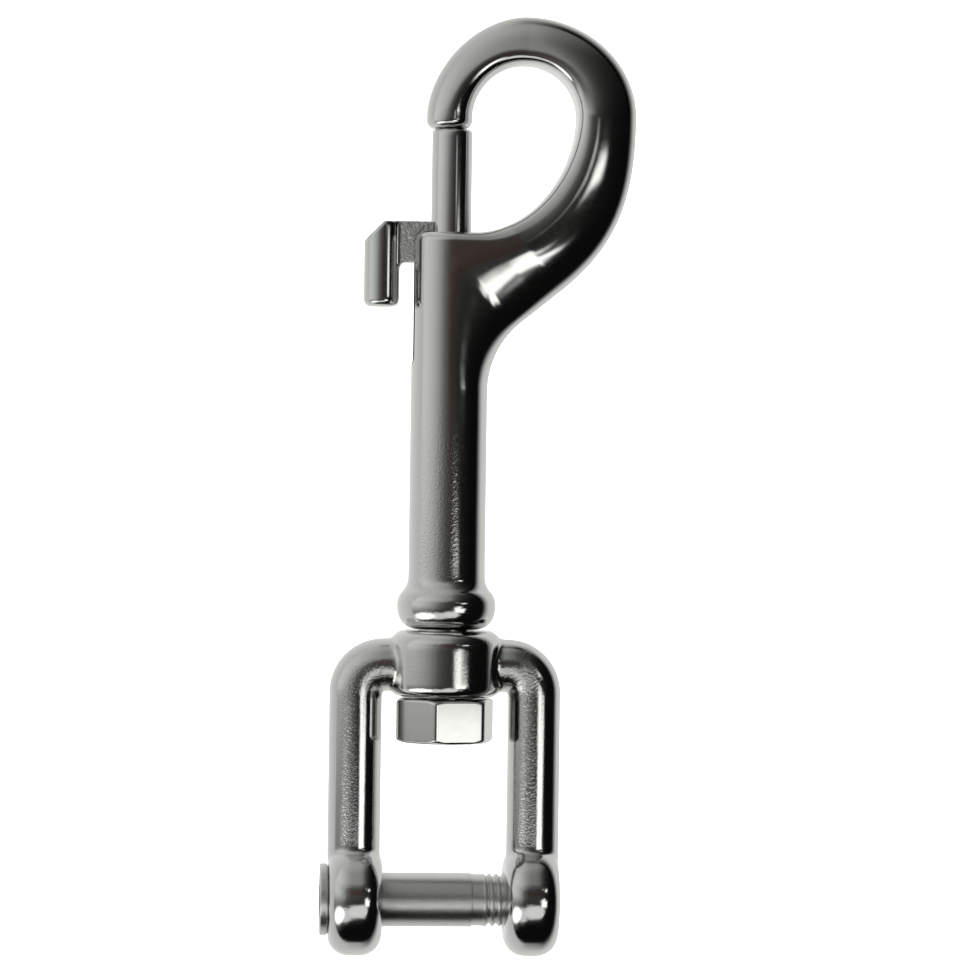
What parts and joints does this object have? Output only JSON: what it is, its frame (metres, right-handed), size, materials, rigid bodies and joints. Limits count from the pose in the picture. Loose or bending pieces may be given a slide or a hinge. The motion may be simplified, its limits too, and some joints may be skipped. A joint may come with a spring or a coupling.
{
  "type": "swivel snap hook",
  "caption": "Snap hook with a spring bolt and thumb lever in a slotted barrel, turning on a swivel fork closed by a threaded pin.",
  "frame": {"origin": "middle of the shackle pin, between the fork's two ears, on the swivel axis", "axes": "+Y along the swivel axis from the fork to the hook, +X along the shackle pin towards the tapped ear and the hook's bow, +Z across the flat of the hook, out of the face shown; the part lies on its -Z side"},
  "size_m": [0.0343, 0.1052, 0.0126],
  "materials": {
    "polished_casting": "tumbled and polished cast stainless steel, with a fine orange-peel texture left in the flats",
    "turned_steel": "polished turned stainless steel",
    "spring_wire": "drawn stainless spring wire"
  },
  "bodies": {
    "hook": {"hook_body": "polished_casting", "gate_spring": "spring_wire", "swivel_stud": "turned_steel", "swivel_nut": "turned_steel"},
    "gate": {"gate_bolt": "turned_steel", "thumb_lever": "polished_casting"},
    "shackle_fork": {"fork": "polished_casting"},
    "shackle_pin": {"clevis_pin": "turned_steel"}
  },
  "joints": [
    {"name": "gate_slide", "type": "slide", "parent": "hook", "child": "gate", "axis": [0, -1, 0], "range_m": [0, 0.011], "stiffness_N_per_m": 500, "springref_m": -0.004, "deforming": ["gate_spring"]},
    {"name": "swivel_turn", "type": "hinge", "parent": "hook", "child": "shackle_fork", "pos_m": [0, 0.0264, 0], "axis": [0, 1, 0], "continuous": true},
    {"name": "pin_withdraw", "type": "slide", "parent": "shackle_fork", "child": "shackle_pin", "axis": [-1, 0, 0], "range_m": [0, 0.028]}
  ]
}
